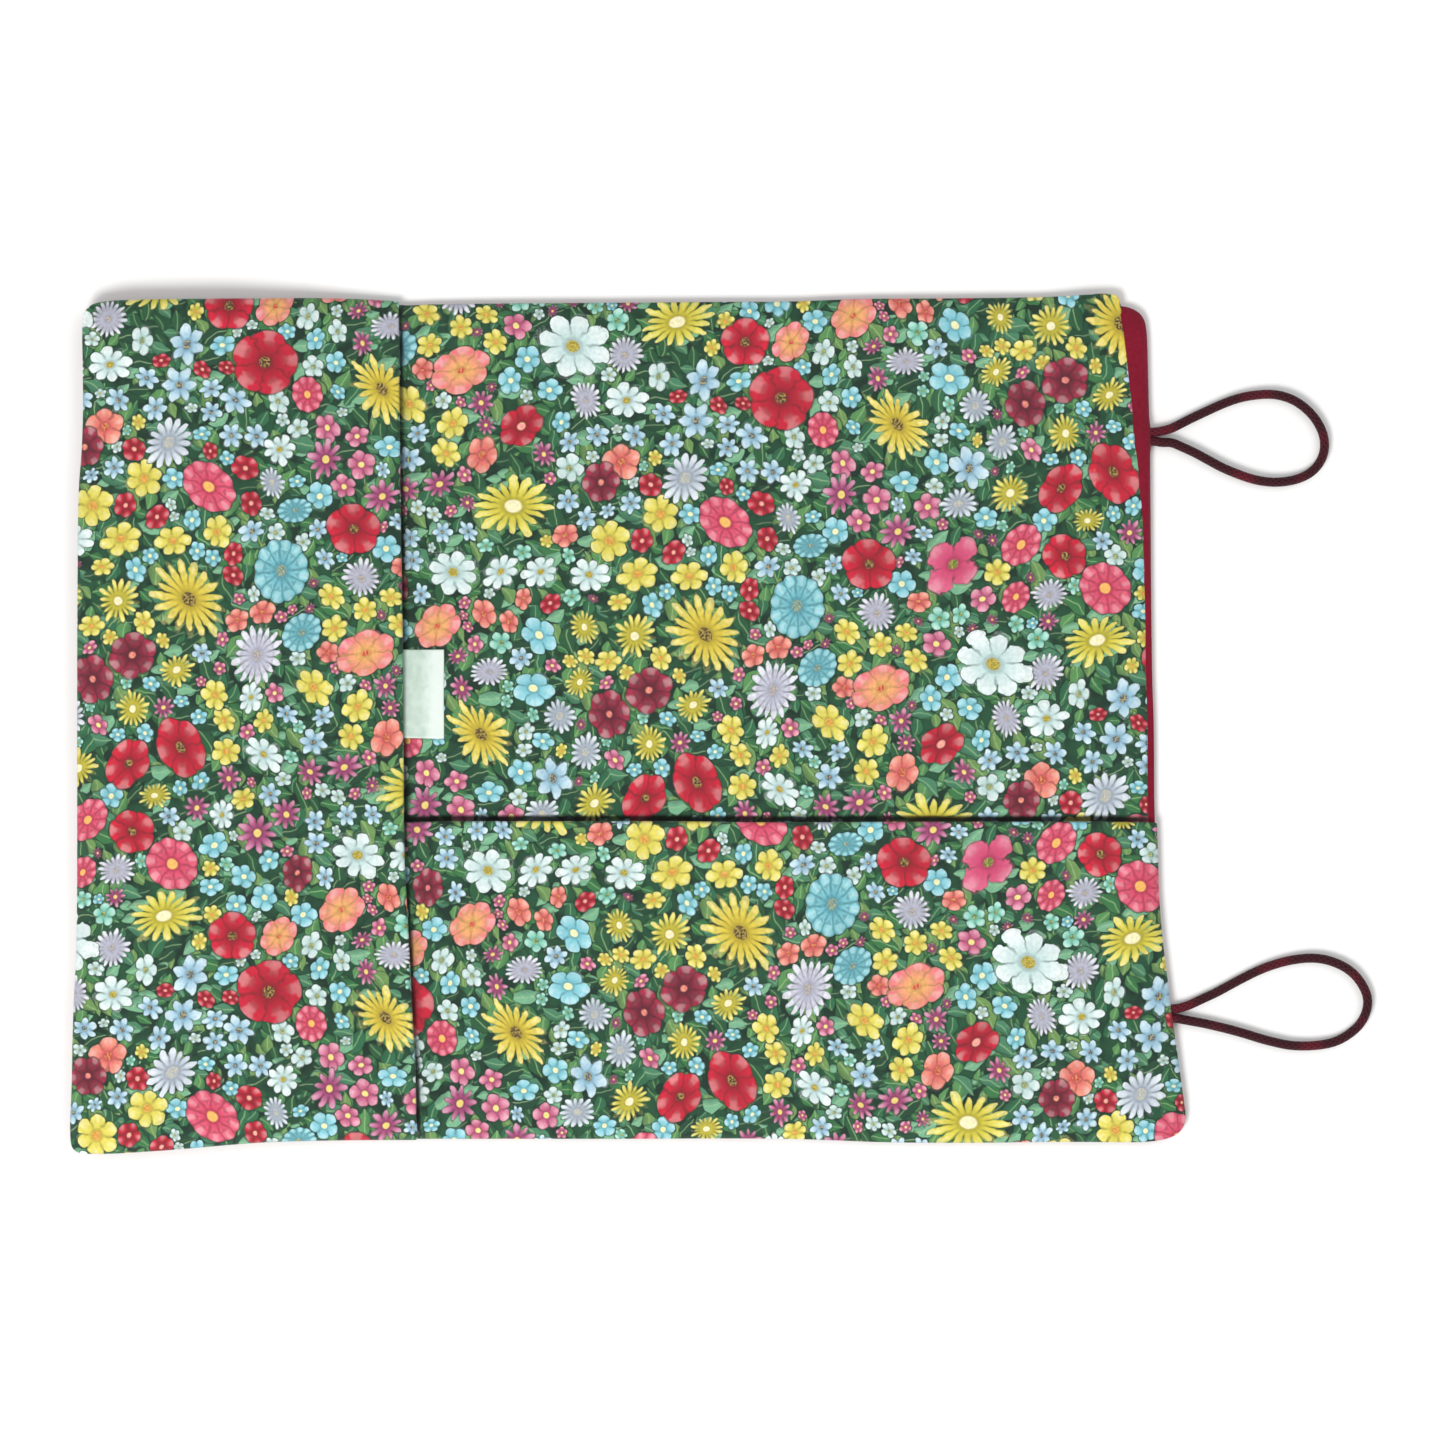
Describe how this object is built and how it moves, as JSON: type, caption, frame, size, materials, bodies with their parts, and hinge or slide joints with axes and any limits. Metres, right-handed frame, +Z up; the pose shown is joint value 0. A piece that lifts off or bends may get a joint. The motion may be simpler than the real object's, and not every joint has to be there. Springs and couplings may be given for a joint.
{
  "type": "fabric folding wallet",
  "caption": "Padded cotton wallet lying open like a book, with slip pockets inside, a side label, and elastic loops that close it over buttons on the outside.",
  "frame": {"origin": "bottom centre of the open wallet, without its elastic loops, on the surface that it lies on", "axes": "+X along the open width towards the edge with the closing loops, +Y towards the edge without a pocket, +Z up, out of the inside faces"},
  "size_m": [0.3246, 0.2142, 0.01],
  "materials": {
    "outer_cotton": "plain woven cotton, matt, crimson",
    "printed_cotton": "plain woven cotton with a dense floral print on green, matt",
    "wadding": "needled cotton wadding",
    "label_satin": "woven satin ribbon, soft sheen",
    "elastic": "braided round elastic, dark red",
    "button": "polished, four holes",
    "thread": "twisted sewing thread"
  },
  "bodies": {
    "left_leaf": {"outer_cover_left": "outer_cotton", "wadding_left": "wadding", "seam_allowance_left": "outer_cotton", "lining_left": "printed_cotton", "lower_pocket_facing_left": "printed_cotton", "lower_pocket_front_left": "printed_cotton", "left_pocket_facing": "printed_cotton", "left_pocket_front": "printed_cotton", "button_upper": "button", "button_lower": "button", "button_thread_upper": "thread", "button_thread_lower": "thread"},
    "right_leaf": {"outer_cover_right": "outer_cotton", "wadding_right": "wadding", "seam_allowance_right": "outer_cotton", "lining_right": "printed_cotton", "lower_pocket_facing_right": "printed_cotton", "lower_pocket_front_right": "printed_cotton", "loop_tail_upper": "elastic", "loop_tail_lower": "elastic"},
    "label": {"label": "label_satin"},
    "loop_upper": {"loop_upper": "elastic"},
    "loop_lower": {"loop_lower": "elastic"}
  },
  "joints": [
    {"name": "book_fold", "type": "hinge", "parent": "left_leaf", "child": "right_leaf", "pos_m": [-0.00425, 0, 0.0051], "axis": [0, -1, 0], "range_deg": [0, 176]},
    {"name": "loop_upper_flex", "type": "hinge", "parent": "right_leaf", "child": "loop_upper", "pos_m": [0.13275, 0.07145, 0.00135], "axis": [0, -1, 0], "range_deg": [-90, 90], "stiffness_Nm_per_rad": 0.004},
    {"name": "loop_lower_flex", "type": "hinge", "parent": "right_leaf", "child": "loop_lower", "pos_m": [0.1376, -0.07285, 0.00135], "axis": [0, -1, 0], "range_deg": [-90, 90], "stiffness_Nm_per_rad": 0.004},
    {"name": "label_flip", "type": "hinge", "parent": "left_leaf", "child": "label", "pos_m": [-0.0558, 0.0071, 0.0051], "axis": [0, -1, 0], "range_deg": [0, 175]}
  ]
}
